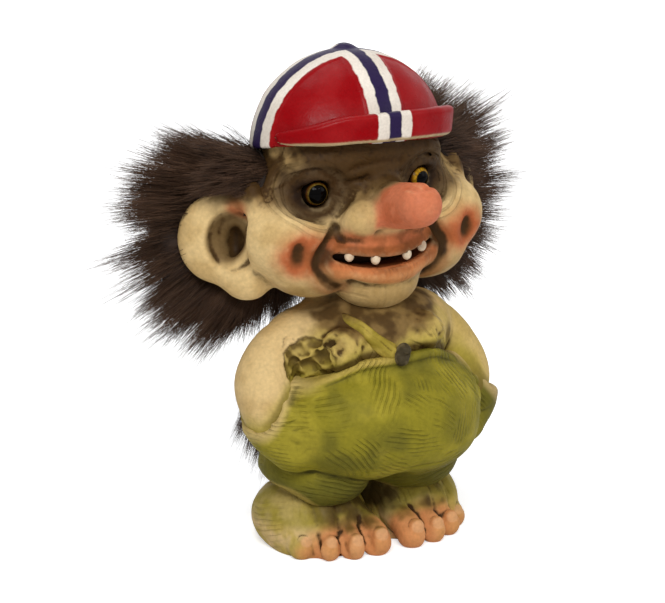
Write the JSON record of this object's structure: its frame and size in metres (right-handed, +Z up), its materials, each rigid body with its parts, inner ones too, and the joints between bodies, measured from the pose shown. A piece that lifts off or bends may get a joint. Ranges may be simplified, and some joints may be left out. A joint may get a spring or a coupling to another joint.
{
  "type": "troll figure",
  "caption": "Standing folk troll figure with long nose, glass eyes, fur hair, flag-cross cap that lifts off, green trousers and a tufted tail that bends.",
  "frame": {"origin": "on the surface that the feet stand on, at the middle of the bounding box seen from above", "axes": "+Z up, the face looks along -Y, the figure's own left side is at +X"},
  "size_m": [0.132, 0.0858, 0.1479],
  "materials": {
    "skin": "cream casting with a dark antiquing wash in the creases",
    "trousers": "olive green paint with a darker wash",
    "cap_paint": "glossy red paint with white and blue bands",
    "button": "dark grey paint",
    "eye_glass": "clear polished glass",
    "iris": "amber enamel",
    "pupil": "black enamel",
    "tooth": "off-white paint",
    "backing_cloth": "dark woven cloth",
    "fur": "dark brown long-pile faux fur"
  },
  "bodies": {
    "figure": {"head": "skin", "torso": "skin", "trousers": "trousers", "left_ear": "skin", "right_ear": "skin", "left_arm": "skin", "right_arm": "skin", "left_foot": "skin", "right_foot": "skin", "left_eye_glass": "eye_glass", "right_eye_glass": "eye_glass", "left_eye_iris": "iris", "right_eye_iris": "iris", "left_eye_pupil": "pupil", "right_eye_pupil": "pupil", "tooth_1": "tooth", "tooth_2": "tooth", "tooth_3": "tooth", "tooth_4": "tooth", "shoulder_strap": "trousers", "strap_button": "button", "wig_backing": "backing_cloth", "wig_right": "fur", "wig_back": "fur", "wig_left": "fur"},
    "cap": {"cap_crown": "cap_paint", "cap_brim": "cap_paint", "cap_button": "cap_paint"},
    "tail": {"tail": "skin", "tail_tuft": "fur"}
  },
  "joints": [
    {"name": "cap_lift", "type": "slide", "parent": "figure", "child": "cap", "axis": [0.0698, 0.1903, 0.9792], "range_m": [0, 0.05]},
    {"name": "tail_bend", "type": "hinge", "parent": "figure", "child": "tail", "pos_m": [0, 0.0213, 0.045], "axis": [0, 0, 1], "range_deg": [-20, 20], "stiffness_Nm_per_rad": 0.02}
  ]
}
